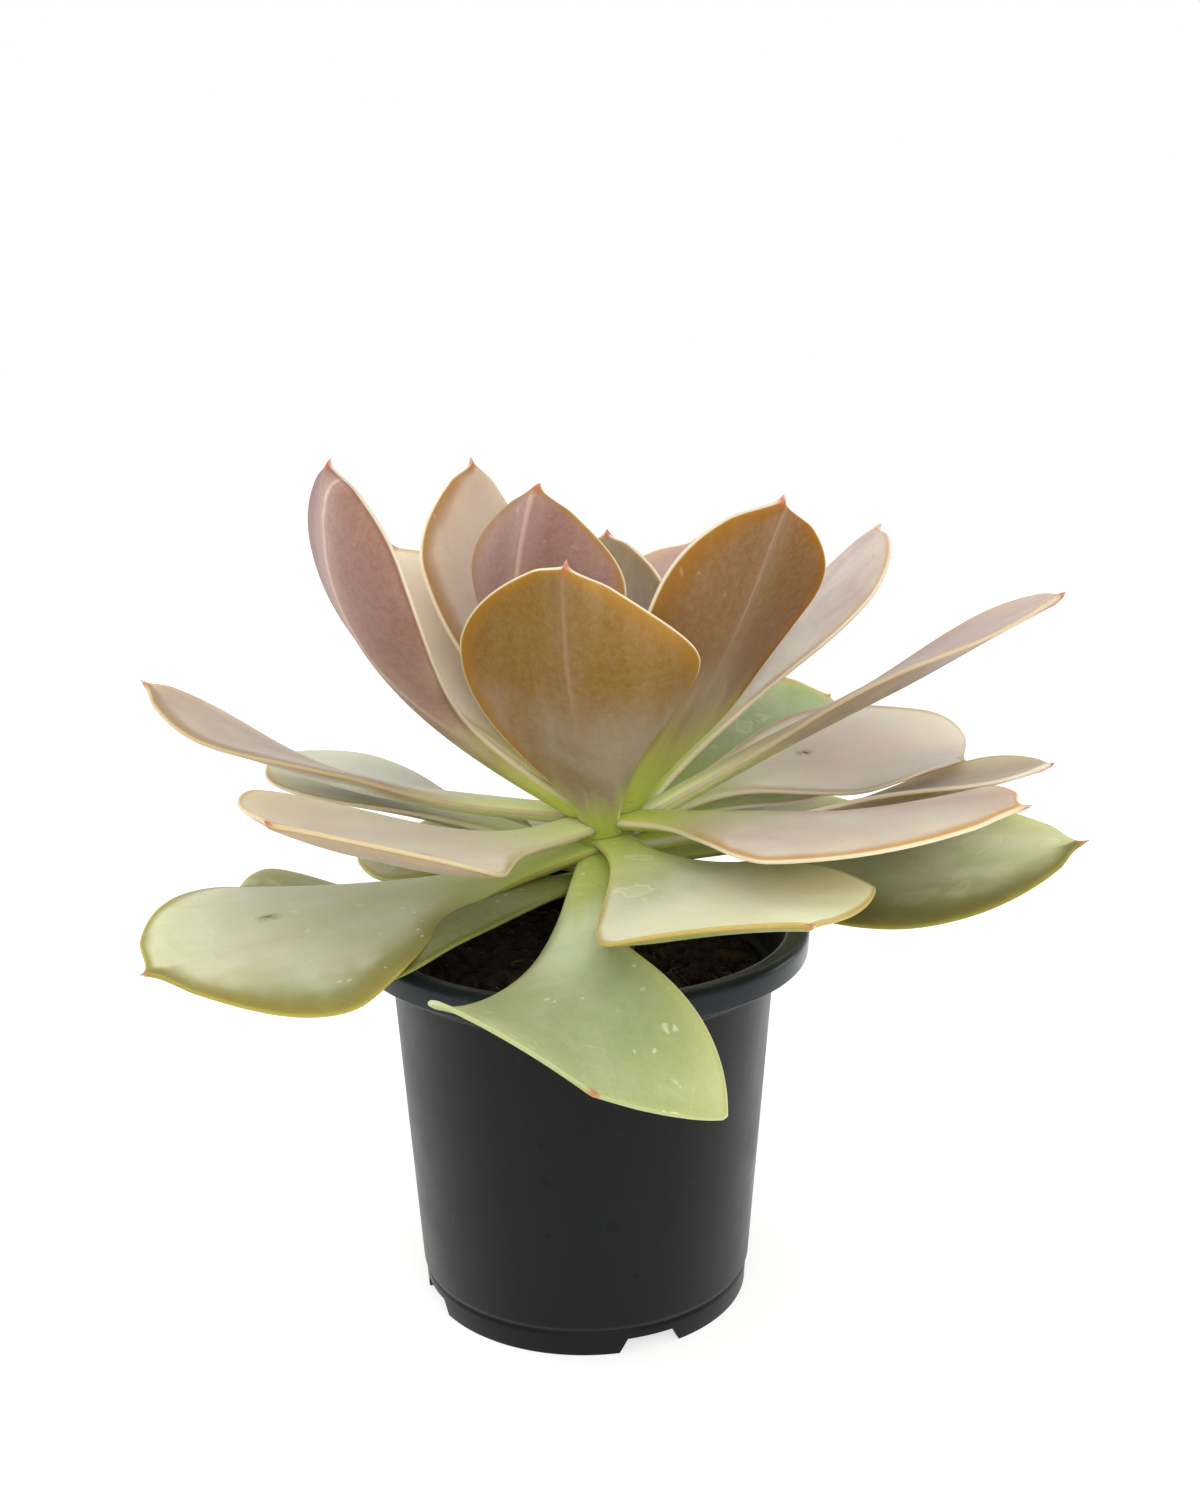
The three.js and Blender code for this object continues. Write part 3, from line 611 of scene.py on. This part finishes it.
class LeafSkin(Shader):
    """The skin of one leaf. Each layer takes the colour below it and returns it with the layer on."""

    def __init__(self, leaf):
        super().__init__(f"echeveria_skin_{leaf['number']:02d}")
        self.leaf = leaf
        self.along = self.number("along")
        self.side = self.number("across")
        self.margin = self.number("margin")
        self.face = self.number("face")
        self.blade = self.vector("blade")
        self.clouds = self.step(self.noise(self.blade, 42, 4, 0.55, 0.3), 0.34, 0.66)
        self.streaks = self.noise(self.scaled(self.blade, 22, 230, 1), 1, 3)
        self.dust = self.noise(self.blade, 520, 5, 0.8)
        self.band = self.margin_band()
        self.powder = self.powder_cover()
        self.height = self.plus(self.times(self.dust, 0.3), self.times(self.streaks, 0.4))

    def margin_band(self):
        """The share of the margin's colour: most of it at the rim, and none past the band's width."""
        left, right = self.leaf["band"]
        width = self.step(self.side, -1.0, 1.0, right, left)
        width = self.times(width, self.step(self.along, 0.55, 0.9, 1.0, self.leaf["fade"]))
        width = self.times(width, self.step(self.noise(self.blade, 50, 2), 0.3, 0.7, 0.7, 1.3))
        band = self.step(self.math("DIVIDE", self.margin, width), 0.1, 1.0, 0.85, 0.0)
        return self.times(band, self.step(self.along, 0.15, 0.45))

    def powder_cover(self):
        """Patchy, and thin on the outer face, near the stalk and on the coloured margin."""
        cover = self.noise(self.scaled(self.blade, 55, 90, 1), 1, 5, 0.62, 0.4)
        cover = self.step(cover, 0.4, 0.7, 0.15, 1.0)
        cover = self.times(cover, self.step(self.face, 0.0, 1.0, 0.3, 1.0))
        cover = self.times(cover, self.step(self.along, 0.12, 0.45, 0.1, 1.0))
        return self.times(cover, self.step(self.band, 0.0, 0.7, 1.0, 0.1))

    def both_faces(self):
        patchy = self.times(self.minus(self.clouds, 0.5), 0.08)
        reach = self.step(self.plus(self.along, patchy), 0.3, 0.72)
        faces = []
        for stalk_end, tip_end, cloud in (self.leaf["under"], self.leaf["over"]):
            tone = self.mix(reach, stalk_end, tip_end)
            faces.append(self.mix(self.times(self.clouds, 0.6), tone, cloud))
        under, over = faces
        return self.mix(self.face, self.keel_line(under), self.painted_fold_shading(over))

    def keel_line(self, body):
        tone, strength = self.leaf["middle"]
        away = self.apart(self.side, self.times(self.step(self.along, 0.0, 0.6), self.leaf["ridge"]))
        line = self.plus(self.step(away, 0.5, 6.0, 0.35, 0.0), self.step(away, 0.1, 0.9, 0.65, 0.0))
        line = self.times(self.times(line, strength), self.step(self.along, 0.25, 0.5))
        return self.mix(line, body, tone)

    # Painted light and shade along a fold of the inner face: a darker stripe paints the shade on the
    # folded half, a paler one paints a highlight.
    def painted_fold_shading(self, body):
        if not self.leaf["painted_fold_shading"]:
            return body
        tone, strength, middle, reach = self.leaf["painted_fold_shading"]
        painted_stripe = self.step(self.apart(self.side, middle), 0.0, reach, strength, 0.0)
        return self.mix(self.times(painted_stripe, self.step(self.along, 0.1, 0.4)), body, tone)

    def coloured_margin(self, body):
        return self.mix(self.band, body, self.leaf["margin"])

    def stalk_green(self, body):
        reach = self.plus(self.leaf["lime"], self.step(self.streaks, 0.3, 0.7, -0.06, 0.06))
        green = self.step(self.math("DIVIDE", self.along, reach), 0.2, 1.1, 0.9, 0.0)
        return self.mix(green, body, self.leaf["stalk"])

    def powder_and_dust(self, body):
        body = self.mix(self.times(self.powder, self.leaf["bloom"]), body, SKIN["powder"])
        dusty = self.step(self.dust, 0.4, 0.6, 0.0, 0.06)
        dusty = self.times(dusty, self.step(self.band, 0.0, 0.8, 1.0, 0.2))
        body = self.mix(dusty, body, SKIN["dust"])
        return self.mix(self.step(self.streaks, 0.45, 0.8, 0.0, 0.05), body, self.leaf["edge"])

    def water_marks(self, body):
        """Pale stains with a paler outline, slightly raised."""
        if not self.leaf["marks"]:
            return body
        size = self.step(self.noise(self.blade, 33, 2), 0.42, 0.7, 0.0, 0.5)
        spots = self.minus(self.cells(self.shifted(self.blade, 170, 0.011), 95), size)
        stain = self.step(self.math("ABSOLUTE", spots), 0.01, 0.07, 0.55, 0.0)
        stain = self.plus(stain, self.step(spots, -0.03, 0.0, 0.25, 0.0))
        stain = self.times(stain, self.step(size, 0.0, 0.15, 0.0, self.leaf["marks"]))
        stain = self.times(stain, self.math("SUBTRACT", self.face, self.band, clamp=True))
        self.height = self.plus(self.height, self.times(stain, 0.5))
        return self.mix(stain, body, SKIN["water_mark"])

    def flecks_and_specks(self, body):
        flecks = self.step(self.cells(self.shifted(self.blade, 300, 0.004), 260), 0.1, 0.2, 1.0, 0.0)
        flecks = self.times(flecks, self.step(self.noise(self.blade, 52, 2), 0.5, 0.66))
        body = self.mix(self.times(flecks, self.leaf["flecks"] * 0.5), body, SKIN["fleck"])
        specks = self.step(self.cells(self.blade, 130), 0.04, 0.08, 1.0, 0.0)
        specks = self.times(specks, self.step(self.noise(self.blade, 47, 1), 0.58, 0.62))
        return self.mix(self.times(specks, self.leaf["specks"]), body, SKIN["speck"])

    def scars(self, body):
        for along, across, reach in self.leaf["scars"]:
            centre = (along, across, self.leaf["number"] + 0.05)
            away = self.vectors("SUBTRACT", self.shifted(self.blade, 400, 0.003), centre).outputs[0]
            away = self.scaled(away, 1 / reach, 2.5 / reach, 100)
            away = self.vectors("LENGTH", away).outputs["Value"]
            body = self.mix(self.step(away, 0.3, 1.0, 0.5, 0.0), body, SKIN["scar_rim"])
            body = self.mix(self.step(away, 0.1, 0.3, 0.8, 0.0), body, SKIN["scar"])
        return body

    def rim_and_tip(self, body):
        body = self.mix(self.step(self.margin, 0.1, 0.7, 0.8, 0.0), body, self.leaf["edge"])
        ahead = self.times(self.minus(1.0, self.along), self.leaf["length"])
        beside = self.times(self.side, 1.4)
        away = self.math("SQRT", self.plus(self.times(ahead, ahead), self.times(beside, beside)))
        return self.mix(self.step(away, 0.8, 3.2, 0.9, 0.0), body, self.leaf["tip"])


def leaf_material(leaf):
    skin = LeafSkin(leaf)
    body = skin.both_faces()
    layers = (
        skin.coloured_margin, skin.stalk_green, skin.powder_and_dust, skin.water_marks,
        skin.flecks_and_specks, skin.scars, skin.rim_and_tip,
    )
    for layer in layers:
        body = layer(body)
    skin.set(
        Base_Color=body,
        Roughness=skin.step(skin.powder, 0.0, 1.0, 0.42, 0.6),
        Normal=skin.bump(skin.height, 0.3, 0.0004),
        Subsurface_Weight=0.8,
        Subsurface_Radius=(1.0, 0.85, 0.5),
        Subsurface_Scale=0.005,
        Specular_IOR_Level=0.15,
    )
    return skin.material


def add_leaves():
    for leaf in build_leaf_table():
        piece = show(f"blade_{leaf['number']:02d}", leaf_mesh(leaf))
        finish_piece(piece, leaf_material(leaf), f"leaf_{leaf['number']:02d}")


# Pot


def turned_mesh(name, profile, sides):
    """A closed solid of revolution about the Z axis, from its profile."""
    points = []
    rings = []
    for radius, height in profile:
        around = ring(radius, height, sides) if radius else [(0, 0, height)]
        rings.append(range(len(points), len(points) + len(around)))
        points += around
    faces = []
    for low, high in zip(rings, rings[1:]):
        for j in range(sides):
            k = (j + 1) % sides
            if len(low) == 1:
                faces.append((low[0], high[k], high[j]))
            elif len(high) == 1:
                faces.append((low[j], low[k], high[0]))
            else:
                faces.append((low[j], low[k], high[k], high[j]))
    return mesh_of(name, points, faces)


def pot_profile():
    """Radius and height of each corner, and how far from the corner its rounding starts."""
    top = POT["height"]
    rim = POT["rim_radius"]
    rim_inner = rim - POT["rim_width"]
    rim_bottom = top - POT["rim_band"]
    wall = POT["wall"]
    wall_foot = POT["wall_foot_radius"]
    wall_top = POT["wall_top_radius"]
    step = wall_top + POT["shoulder_step"]
    shoulder = rim_bottom - POT["shoulder_height"]
    foot = POT["foot_radius"]
    foot_inner = foot - POT["foot_width"]
    foot_top = POT["foot_height"]
    underside = POT["floor_underside"]
    floor = underside + POT["floor_thickness"]
    corners = [
        (0, underside, 0),
        (foot_inner, underside, 0.4),
        (foot_inner, 0, 0.3),
        (foot, 0, 0.5),
        (foot + 0.3, foot_top - 0.8, 0.4),
        (foot - 0.1, foot_top, 0.3),
        (wall_foot, foot_top + 1, 0.6),
        (wall_top, shoulder, 0.5),
        (step, shoulder + 0.9, 0.5),
        (step + 0.2, rim_bottom - 0.6, 0.4),
        (step + 0.8, rim_bottom, 0.3),
        (rim - 0.4, rim_bottom, 0.6),
        (rim, top - 0.6, 1.3),
        (rim - 1.6, top, 0.9),
        (rim_inner + 1, top - 0.3, 0.6),
        (rim_inner, top - 1.3, 0.6),
        (step - wall + 0.6, rim_bottom - 1, 1.2),
        (step - wall, shoulder, 0.5),
        (wall_top - wall, shoulder - 1.4, 0.5),
        (wall_foot - wall + 0.1, floor + 1.5, 0.8),
        (wall_foot - wall - 1.4, floor, 0.8),
        (0, floor, 0),
    ]
    return rounded(corners, 5)


def rounded(corners, steps):
    """Cuts each corner of a profile back to an arc that starts its third number from the corner."""
    points = []
    for i, (x, y, reach) in enumerate(corners):
        if reach == 0:
            points.append((x, y))
            continue
        corner = Vector((x, y))
        before = Vector(corners[i - 1][:2]) - corner
        after = Vector(corners[i + 1][:2]) - corner
        start = corner + before.normalized() * min(reach, before.length * 0.45)
        end = corner + after.normalized() * min(reach, after.length * 0.45)
        for k in range(steps + 1):
            share = k / steps
            points.append(tuple(start.lerp(corner, share).lerp(corner.lerp(end, share), share)))
    return points


def prism(name, outline_points, low, high, place):
    """A closed prism of an outline in its own XY plane, from low to high along its Z, then placed."""
    count = len(outline_points)
    points = [(x, y, low) for x, y in outline_points] + [(x, y, high) for x, y in outline_points]
    faces = [tuple(reversed(range(count))), tuple(range(count, 2 * count))]
    faces += ring_quads(0, 2, count)
    mesh = mesh_of(name, points, faces)
    mesh.transform(place)
    return show(name, mesh)


def cut(piece, tools):
    for tool in tools:
        modifier = piece.modifiers.new("cut", "BOOLEAN")
        modifier.operation = "DIFFERENCE"
        modifier.solver = "EXACT"
        modifier.object = tool
    graph = bpy.context.evaluated_depsgraph_get()
    piece.data = bpy.data.meshes.new_from_object(piece.evaluated_get(graph))
    piece.modifiers.clear()
    for tool in tools:
        bpy.data.objects.remove(tool)


def azimuths(spread):
    count = spread["count"]
    return [math.radians(spread["first_azimuth"] + 360 / count * i) for i in range(count)]


def foot_notches():
    shape = [
        (-NOTCH["width"] / 2, -1),
        (NOTCH["width"] / 2, -1),
        (NOTCH["top_width"] / 2, NOTCH["height"]),
        (-NOTCH["top_width"] / 2, NOTCH["height"]),
    ]
    inner = POT["foot_radius"] - POT["foot_width"] - 3
    outer = POT["foot_radius"] + 3
    stand_up = Matrix.Rotation(math.pi / 2, 4, "X")
    tools = []
    for azimuth in azimuths(NOTCH):
        turn = Matrix.Rotation(azimuth + math.pi / 2, 4, "Z")
        tools.append(prism("notch", shape, inner, outer, turn @ stand_up))
    return tools


def drain_holes():
    circle = [(x, y) for x, y, _ in ring(DRAIN["radius"], 0, 32)]
    low = POT["floor_underside"] - 2
    high = POT["floor_underside"] + POT["floor_thickness"] + 2
    reach = DRAIN["ring_radius"] * MM
    tools = []
    for azimuth in azimuths(DRAIN):
        place = Matrix.Translation((reach * math.cos(azimuth), reach * math.sin(azimuth), 0))
        tools.append(prism("drain", circle, low, high, place))
    return tools


def wall_radius(height):
    """The radius of the wall's outside at a height above the foot."""
    low = POT["foot_height"]
    high = POT["height"] - POT["rim_band"] - POT["shoulder_height"]
    return blend(POT["wall_foot_radius"], POT["wall_top_radius"], (height - low) / (high - low))


def splash_cover(shader, place):
    cover = 0.0
    for azimuth, level, reach in SPLASHES:
        turn = math.radians(azimuth)
        wall = wall_radius(level)
        centre = POT_AXIS + Vector((wall * math.cos(turn), wall * math.sin(turn), level)) * MM
        away = shader.vectors("DISTANCE", place, centre[:]).outputs["Value"]
        spot = shader.step(away, 0.7 * reach * MM, reach * MM, 1.0, 0.0)
        cover = shader.math("MAXIMUM", cover, spot)
    return cover


def pot_material():
    shader = Shader("charcoal_plastic")
    place = shader.place()
    haze = shader.noise(place, 45, 4, 0.6)
    brushed = shader.noise(shader.scaled(place, 300, 300, 14), 1, 3, 0.6)
    dust = shader.step(shader.noise(place, 190, 5, 0.75), 0.6, 0.78)
    scuff = shader.step(shader.cells(place, 85), 0.05, 0.1, 1.0, 0.0)
    scuff = shader.times(scuff, shader.step(shader.noise(place, 35, 1), 0.5, 0.6))
    rim_bottom = POT["height"] - POT["rim_band"]
    rim = shader.step(shader.height_of(place), (rim_bottom - 0.2) * MM, (rim_bottom + 0.2) * MM)
    body = shader.mix(haze, PLASTIC["dark"], PLASTIC["light"])
    # Painted reflection: the rim band is coloured paler and bluer than the wall.
    body = shader.mix(rim, body, PLASTIC["rim"])
    body = shader.mix(splash_cover(shader, place), body, PLASTIC["splash"])
    body = shader.mix(shader.times(dust, 0.12), body, PLASTIC["dust"])
    body = shader.mix(shader.times(scuff, 0.5), body, PLASTIC["scuff"])
    gloss = shader.times(rim, 0.16)
    shader.set(
        Base_Color=body,
        Roughness=shader.minus(shader.step(haze, 0.3, 0.7, 0.3, 0.42), gloss),
        Normal=shader.bump(shader.plus(shader.times(brushed, 0.4), haze), 0.12, 0.0003),
        Specular_IOR_Level=0.15,
        Sheen_Weight=0.06,
        Sheen_Roughness=0.5,
    )
    return shader.material


def add_pot():
    piece = show("nursery_pot", turned_mesh("nursery_pot", pot_profile(), POT_SIDES))
    cut(piece, foot_notches() + drain_holes())
    finish_piece(piece, pot_material(), "pot")
    piece.data.set_sharp_from_angle(angle=math.radians(50))


# Soil


def soil_height(x, y):
    """The lumpy top of the peat at a place on it."""
    share = min(math.hypot(x, y) / SOIL["radius"], 1)
    spot = Vector((x, y, 0))
    lumps = noise.noise(spot * 0.09) * 1.6 + noise.noise(spot * 0.25) * 1.1
    lumps += noise.noise(spot * 0.7) * 0.6
    return SOIL["level"] + SOIL["mound"] * (1 - share) ** 2 + lumps


def inner_radius(height):
    return wall_radius(height) - POT["wall"] - SOIL["clearance"]


def soil_mesh():
    sectors = 200
    rings = 70
    floor = POT["floor_underside"] + POT["floor_thickness"] + SOIL["clearance"]
    brim = SOIL["level"] - 4
    points = ring(inner_radius(floor) - 2, floor, sectors)
    points += ring(inner_radius(floor + 3), floor + 3, sectors)
    points += ring(inner_radius(brim), brim, sectors)
    for i in range(rings):
        radius = inner_radius(SOIL["level"]) * (1 - i / rings)
        points += [(x, y, soil_height(x, y)) for x, y, _ in ring(radius, 0, sectors)]
    points += [(0, 0, floor), (0, 0, soil_height(0, 0))]
    return mesh_of("peat_soil", points, closed_rings(3 + rings, sectors))


def soil_material(name, dark, light, scale):
    shader = Shader(name)
    place = shader.place()
    lumps = shader.noise(place, scale, 6, 0.7)
    fine = shader.noise(place, scale * 6, 4, 0.7)
    body = shader.mix(shader.step(lumps, 0.35, 0.7), dark, light)
    body = shader.mix(shader.step(fine, 0.62, 0.75, 0.0, 0.5), body, "#5a4534")
    shader.set(
        Base_Color=body,
        Roughness=shader.step(lumps, 0.3, 0.7, 0.75, 0.95),
        Normal=shader.bump(shader.plus(lumps, fine), 0.7, 0.0008),
    )
    return shader.material


def soil_spot(draw):
    """A place on the soil that isn't inside the stem."""
    while True:
        radius = (SOIL["radius"] - 2) * math.sqrt(draw.random())
        angle = 2 * math.pi * draw.random()
        x = radius * math.cos(angle)
        y = radius * math.sin(angle)
        if math.hypot(x - STEM["x"], y) > STEM["radius"] + 1.5:
            return x, y


def crumb_mesh(name, count, sizes, stretch, seed):
    """Small irregular lumps that lie half sunk in the peat."""
    draw = random.Random(seed)
    ball = bmesh.new()
    bmesh.ops.create_icosphere(ball, subdivisions=2, radius=1)
    verts = [v.co.copy() for v in ball.verts]
    shape = [tuple(v.index for v in f.verts) for f in ball.faces]
    ball.free()
    points = []
    faces = []
    for _ in range(count):
        x, y = soil_spot(draw)
        size = blend(sizes[0], sizes[1], draw.random() ** 2.5)
        turn = Matrix.Rotation(draw.uniform(0, math.tau), 3, "Z")
        tip = Matrix.Rotation(draw.uniform(-0.6, 0.6), 3, "X")
        spread = Vector((size * draw.uniform(*stretch), size, size * draw.uniform(0.6, 0.9)))
        centre = Vector((x, y, soil_height(x, y) + size * 0.25))
        offset = Vector((draw.random(), draw.random(), draw.random())) * 50
        start = len(points)
        for co in verts:
            rough = 1 + 0.45 * noise.noise(co * 1.4 + offset) + 0.2 * noise.noise(co * 4 + offset)
            local = Vector(c * s for c, s in zip(co * rough, spread))
            points.append(centre + turn @ (tip @ local))
        faces += [tuple(start + i for i in face) for face in shape]
    return mesh_of(name, points, faces)


def thread_mesh(name, paths, sides=5):
    """Thin tapered threads along paths of points, each with its radius."""
    points = []
    faces = []
    for path in paths:
        start = len(points)
        for i, (point, radius) in enumerate(path):
            before = path[max(i - 1, 0)][0]
            after = path[min(i + 1, len(path) - 1)][0]
            ahead = (after - before).normalized()
            axis = Vector((0, 0, 1)) if abs(ahead.z) < 0.9 else Vector((1, 0, 0))
            side = ahead.cross(axis).normalized()
            up = side.cross(ahead)
            points += [point + side * x + up * y for x, y, _ in ring(radius, 0, sides)]
        faces += ring_quads(start, len(path), sides)
        last = len(points) - sides
        faces.append(tuple(reversed(range(start, start + sides))))
        faces.append(tuple(range(last, last + sides)))
    return mesh_of(name, points, faces)


def fibre_paths(count, seed):
    draw = random.Random(seed)
    paths = []
    for _ in range(count):
        x, y = soil_spot(draw)
        angle = draw.uniform(0, math.tau)
        length = draw.uniform(3, 9)
        radius = draw.uniform(0.12, 0.3)
        bend = draw.uniform(-0.25, 0.25)
        path = []
        for k in range(6):
            share = k / 5
            height = soil_height(x, y) + radius + 0.5 * math.sin(share * math.pi) * draw.uniform(0.4, 1.4)
            path.append((Vector((x, y, height)), radius * (1 - 0.6 * abs(2 * share - 1) ** 2)))
            angle += bend
            x += length / 5 * math.cos(angle)
            y += length / 5 * math.sin(angle)
            if math.hypot(x, y) > SOIL["radius"] - 1.5:
                break
        if len(path) > 2:
            paths.append(path)
    return paths


def root_path():
    """The pale root thread that lies on the peat at the front right."""
    path = []
    for k in range(25):
        share = k / 24
        x = blend(16, 31, share)
        y = -31.5 + 2.2 * math.sin(share * 4) + 4.5 * share
        path.append((Vector((x, y, soil_height(x, y) + 0.8)), blend(0.26, 0.12, share)))
    return path


def thread_material(name, dark, light):
    shader = Shader(name)
    tone = shader.noise(shader.place(), 500, 3)
    shader.set(
        Base_Color=shader.mix(tone, dark, light),
        Roughness=shader.step(tone, 0.3, 0.7, 0.6, 0.85),
        Normal=shader.bump(tone, 0.4, 0.0003),
    )
    return shader.material


def add_soil():
    peat = soil_material("dark_peat", "#0d0805", "#2b1c12", 420)
    finish_piece(show("peat_soil", soil_mesh()), peat, "soil")
    for name, (look, *draws) in CRUMBS.items():
        finish_piece(show(name, crumb_mesh(name, *draws)), soil_material(*look))
    fibres = show("peat_fibres", thread_mesh("peat_fibres", fibre_paths(FIBRES["count"], FIBRES["seed"])))
    finish_piece(fibres, thread_material("fibre", "#2e1b10", "#7a5a3c"))
    root = show("root_thread", thread_mesh("root_thread", [root_path()], 8))
    finish_piece(root, thread_material("pale_root", "#8f8168", "#c9bfa6"))


# Stem


def stem_mesh():
    """A ringed bark that widens out of the soil and closes in a dome under the crown."""
    sides = 72
    levels = 110
    dome_start = STEM["shoulder"] - 1
    points = []
    for i in range(levels):
        z = blend(STEM["root_height"], STEM["top"], i / levels)
        dome = math.sqrt(1 - (max(0, z - dome_start) / (STEM["top"] - dome_start)) ** 2)
        taper = blend(0.7, 1, smooth((z - STEM["root_height"]) / 8))
        for j in range(sides):
            angle = 2 * math.pi * j / sides
            scar = 0.18 * math.sin(z * 1.9 + 1.3 * math.sin(angle * 2 + z * 0.2))
            rough = 0.25 * noise.noise(Vector((math.cos(angle) * 2, math.sin(angle) * 2, z * 0.3)))
            radius = (STEM["radius"] - 0.4 + scar + rough) * taper * dome
            points.append((STEM["x"] + radius * math.cos(angle), radius * math.sin(angle), z))
    points += [(STEM["x"], 0, STEM["root_height"]), (STEM["x"], 0, STEM["top"])]
    return mesh_of("short_stem", points, closed_rings(levels, sides))


def stem_material():
    shader = Shader("stem_bark")
    place = shader.place()
    rings = shader.noise(shader.scaled(place, 40, 40, 420), 1, 4, 0.6)
    age = shader.step(shader.height_of(place), 0.082, 0.1)
    body = shader.mix(age, "#5d4a33", "#8f9a35")
    body = shader.mix(shader.step(rings, 0.5, 0.7, 0.0, 0.5), body, "#b9ad7a")
    shader.set(
        Base_Color=body,
        Roughness=shader.step(rings, 0.3, 0.7, 0.5, 0.7),
        Normal=shader.bump(rings, 0.5, 0.0006),
        Subsurface_Weight=0.2,
        Subsurface_Scale=0.002,
    )
    return shader.material


def add_stem():
    finish_piece(show("short_stem", stem_mesh()), stem_material(), "stem")


# Studio


def add_camera():
    data = bpy.data.cameras.new("camera")
    data.sensor_fit = "VERTICAL"
    data.sensor_height = 36
    data.lens = data.sensor_height * CAMERA["focal"] / CAMERA["picture"]
    data.clip_start = 0.01
    camera = show("camera", data)
    turn = Matrix.Rotation(math.radians(-CAMERA["yaw"]), 4, "Z")
    nod = Matrix.Rotation(math.radians(90 - CAMERA["pitch"]), 4, "X")
    roll = Matrix.Rotation(math.radians(CAMERA["roll"]), 4, "Z")
    place = Matrix.Translation(POT_AXIS + Vector((0, -CAMERA["distance"], CAMERA["height"])) * MM)
    camera.matrix_world = place @ turn @ nod @ roll
    bpy.context.scene.camera = camera


def add_lamps():
    for name, (place, size, power) in LAMPS.items():
        data = bpy.data.lights.new(name, "AREA")
        data.shape = "RECTANGLE"
        data.size, data.size_y = size
        data.energy = power
        lamp = show(name, data)
        lamp.location = place
        lamp.rotation_euler = (LAMP_TARGET - Vector(place)).to_track_quat("-Z", "Y").to_euler()


def add_world():
    """A white surround that lights the plant, and a plain white backdrop for the camera."""
    world = bpy.data.worlds.new("studio")
    nodes = Nodes(world)
    direction = nodes.node("ShaderNodeTexCoord").outputs["Generated"]
    depth = nodes.node("ShaderNodeSeparateXYZ", {0: direction}).outputs["Y"]
    light = nodes.step(depth, -0.9, 0.4, SURROUND["camera_side"], SURROUND["far_side"])
    surround = nodes.node("ShaderNodeBackground", {"Color": "#ffffff", "Strength": light}).outputs[0]
    backdrop = nodes.node("ShaderNodeBackground", {"Color": "#ffffff"}).outputs[0]
    seen = nodes.node("ShaderNodeLightPath").outputs["Is Camera Ray"]
    choice = nodes.node("ShaderNodeMixShader", {0: seen, 1: surround, 2: backdrop}).outputs[0]
    nodes.feed(nodes.tree.nodes["World Output"].inputs["Surface"], choice)
    bpy.context.scene.world = world


def add_floor():
    reach = FLOOR["reach"]
    corners = [(-reach, -reach, 0), (reach, -reach, 0), (reach, reach, 0), (-reach, reach, 0)]
    mesh = bpy.data.meshes.new("floor")
    mesh.from_pydata(corners, [], [(0, 1, 2, 3)])
    floor = show("floor", mesh)
    shader = Shader("pale_floor")
    tone = shader.noise(shader.place(), 3, 2)
    shader.set(
        Base_Color=shader.mix(tone, FLOOR["dark"], FLOOR["light"]),
        Roughness=0.9,
        Specular_IOR_Level=0.1,
        Emission_Color="#ffffff",
        Emission_Strength=FLOOR["glow"],
    )
    floor.data.materials.append(shader.material)


add_pot()
add_soil()
add_stem()
add_leaves()
add_camera()
add_world()
add_floor()
add_lamps()
bpy.context.scene.view_settings.view_transform = "Standard"
